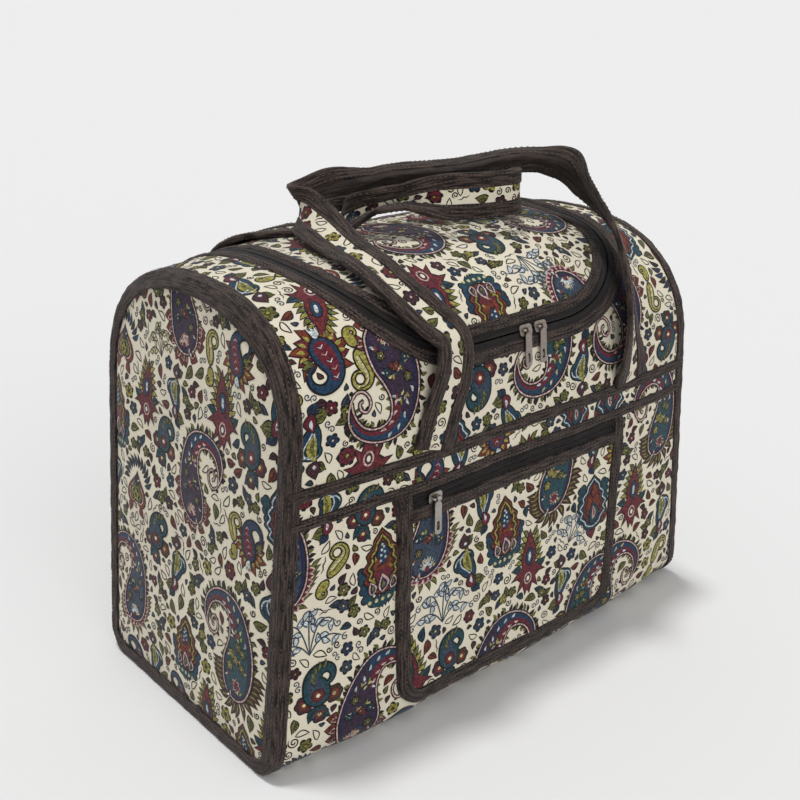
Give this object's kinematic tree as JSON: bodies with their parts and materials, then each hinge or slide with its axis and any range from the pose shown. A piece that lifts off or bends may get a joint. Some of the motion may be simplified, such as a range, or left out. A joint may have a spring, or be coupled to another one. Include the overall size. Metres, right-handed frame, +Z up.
{
  "type": "travel bag",
  "caption": "Upright travel bag of padded printed cloth with bound edges, a domed top that opens by a U-shaped zipped lid, a zipped pocket on the front and flat strap handles",
  "frame": {"origin": "on the floor under the middle of the bag, at the centre of its flat base", "axes": "+X along the bag's length, -Y the front with the pocket, +Z up"},
  "size_m": [0.4434, 0.2675, 0.3837],
  "materials": {
    "printed_cloth": "woven cream cloth with a paisley pattern",
    "base_cloth": "plain dark brown cloth",
    "brown_tape": "dark brown binding tape",
    "zip_weave": "woven zip tape and coil",
    "zip_metal": "dull nickel",
    "board": "stiff base board"
  },
  "bodies": {
    "bag": {"left_end_panel": "printed_cloth", "right_end_panel": "printed_cloth", "front_panel": "printed_cloth", "back_panel": "printed_cloth", "bottom_panel": "base_cloth", "base_board": "board", "top_yoke": "printed_cloth", "lid_panel": "printed_cloth", "left_end_binding": "brown_tape", "right_end_binding": "brown_tape", "front_upper_tape": "brown_tape", "front_lower_tape": "brown_tape", "back_tape": "brown_tape", "lid_edge_tape": "brown_tape", "yoke_edge_tape": "brown_tape", "lid_zip_lid_half": "zip_weave", "lid_zip_yoke_half": "zip_weave", "pocket_panel": "printed_cloth", "pocket_binding": "brown_tape", "pocket_top_tape": "brown_tape", "pocket_zip_upper_half": "zip_weave", "pocket_zip_lower_half": "zip_weave", "front_handle_strap": "printed_cloth", "front_handle_left_binding": "brown_tape", "front_handle_right_binding": "brown_tape", "rear_handle_strap": "printed_cloth", "rear_handle_left_binding": "brown_tape", "rear_handle_right_binding": "brown_tape"},
    "left_lid_slider": {"left_lid_slider": "zip_metal"},
    "left_lid_pull": {"left_lid_pull": "zip_metal"},
    "right_lid_slider": {"right_lid_slider": "zip_metal"},
    "right_lid_pull": {"right_lid_pull": "zip_metal"},
    "pocket_slider": {"pocket_slider": "zip_metal"},
    "pocket_pull": {"pocket_pull": "zip_metal"}
  },
  "joints": [
    {"name": "left_lid_slide", "type": "slide", "parent": "bag", "child": "left_lid_slider", "axis": [-1, 0, 0], "range_m": [0, 0.036]},
    {"name": "right_lid_slide", "type": "slide", "parent": "bag", "child": "right_lid_slider", "axis": [1, 0, 0], "range_m": [0, 0.018]},
    {"name": "pocket_slide", "type": "slide", "parent": "bag", "child": "pocket_slider", "axis": [1, 0, 0], "range_m": [0, 0.18]},
    {"name": "left_lid_pull_swing", "type": "hinge", "parent": "left_lid_slider", "child": "left_lid_pull", "pos_m": [0.006, -0.12111, 0.27755], "axis": [-1, 0, 0], "range_deg": [0, 140]},
    {"name": "right_lid_pull_swing", "type": "hinge", "parent": "right_lid_slider", "child": "right_lid_pull", "pos_m": [0.021, -0.12111, 0.27755], "axis": [-1, 0, 0], "range_deg": [0, 140]},
    {"name": "pocket_pull_swing", "type": "hinge", "parent": "pocket_slider", "child": "pocket_pull", "pos_m": [-0.086, -0.13, 0.179], "axis": [-1, 0, 0], "range_deg": [0, 160]}
  ]
}
